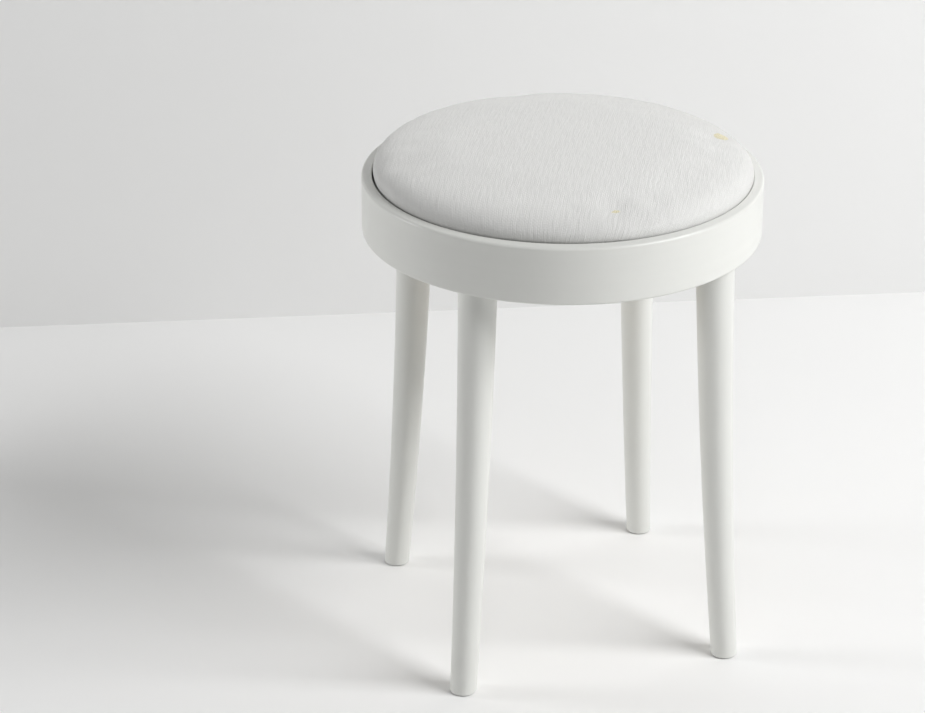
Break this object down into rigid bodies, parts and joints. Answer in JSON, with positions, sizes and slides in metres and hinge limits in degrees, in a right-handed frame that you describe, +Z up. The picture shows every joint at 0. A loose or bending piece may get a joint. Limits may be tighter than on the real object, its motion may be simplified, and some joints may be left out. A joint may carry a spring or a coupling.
{
  "type": "vanity stool",
  "caption": "Round vanity stool: bent wooden seat ring on splayed, tapered round legs, with a crowned fabric pad let into the ring.",
  "frame": {"origin": "on the floor under the middle of the seat ring, in the plane of the glides' lower faces", "axes": "+Z up through the middle of the seat; +X to the right and +Y to the back, each midway between two legs"},
  "size_m": [0.36, 0.36, 0.477],
  "materials": {
    "painted_wood": "satin",
    "woven_cover": "matte",
    "foam": "matte",
    "plywood": "matte",
    "zinc_steel": "satin",
    "glide_plastic": "matte"
  },
  "bodies": {
    "root": {"seat_ring": "painted_wood", "pad_board": "plywood", "pad_foam": "foam", "pad_cover": "woven_cover", "leg_back_right": "painted_wood", "glide_back_right": "glide_plastic", "glide_screw_back_right": "zinc_steel", "lock_screw_back_right": "zinc_steel", "leg_back_left": "painted_wood", "glide_back_left": "glide_plastic", "glide_screw_back_left": "zinc_steel", "lock_screw_back_left": "zinc_steel", "leg_front_left": "painted_wood", "glide_front_left": "glide_plastic", "glide_screw_front_left": "zinc_steel", "lock_screw_front_left": "zinc_steel", "leg_front_right": "painted_wood", "glide_front_right": "glide_plastic", "glide_screw_front_right": "zinc_steel", "lock_screw_front_right": "zinc_steel", "pad_screw_right": "zinc_steel", "pad_washer_right": "zinc_steel", "tee_nut_right": "zinc_steel", "pad_screw_back": "zinc_steel", "pad_washer_back": "zinc_steel", "tee_nut_back": "zinc_steel", "pad_screw_left": "zinc_steel", "pad_washer_left": "zinc_steel", "tee_nut_left": "zinc_steel", "pad_screw_front": "zinc_steel", "pad_washer_front": "zinc_steel", "tee_nut_front": "zinc_steel", "staple_01": "zinc_steel", "staple_02": "zinc_steel", "staple_03": "zinc_steel", "staple_04": "zinc_steel", "staple_05": "zinc_steel", "staple_06": "zinc_steel", "staple_07": "zinc_steel", "staple_08": "zinc_steel", "staple_09": "zinc_steel", "staple_10": "zinc_steel", "staple_11": "zinc_steel", "staple_12": "zinc_steel", "staple_13": "zinc_steel", "staple_14": "zinc_steel", "staple_15": "zinc_steel", "staple_16": "zinc_steel", "staple_17": "zinc_steel", "staple_18": "zinc_steel", "staple_19": "zinc_steel", "staple_20": "zinc_steel", "staple_21": "zinc_steel", "staple_22": "zinc_steel", "staple_23": "zinc_steel", "staple_24": "zinc_steel"}
  },
  "joints": []
}
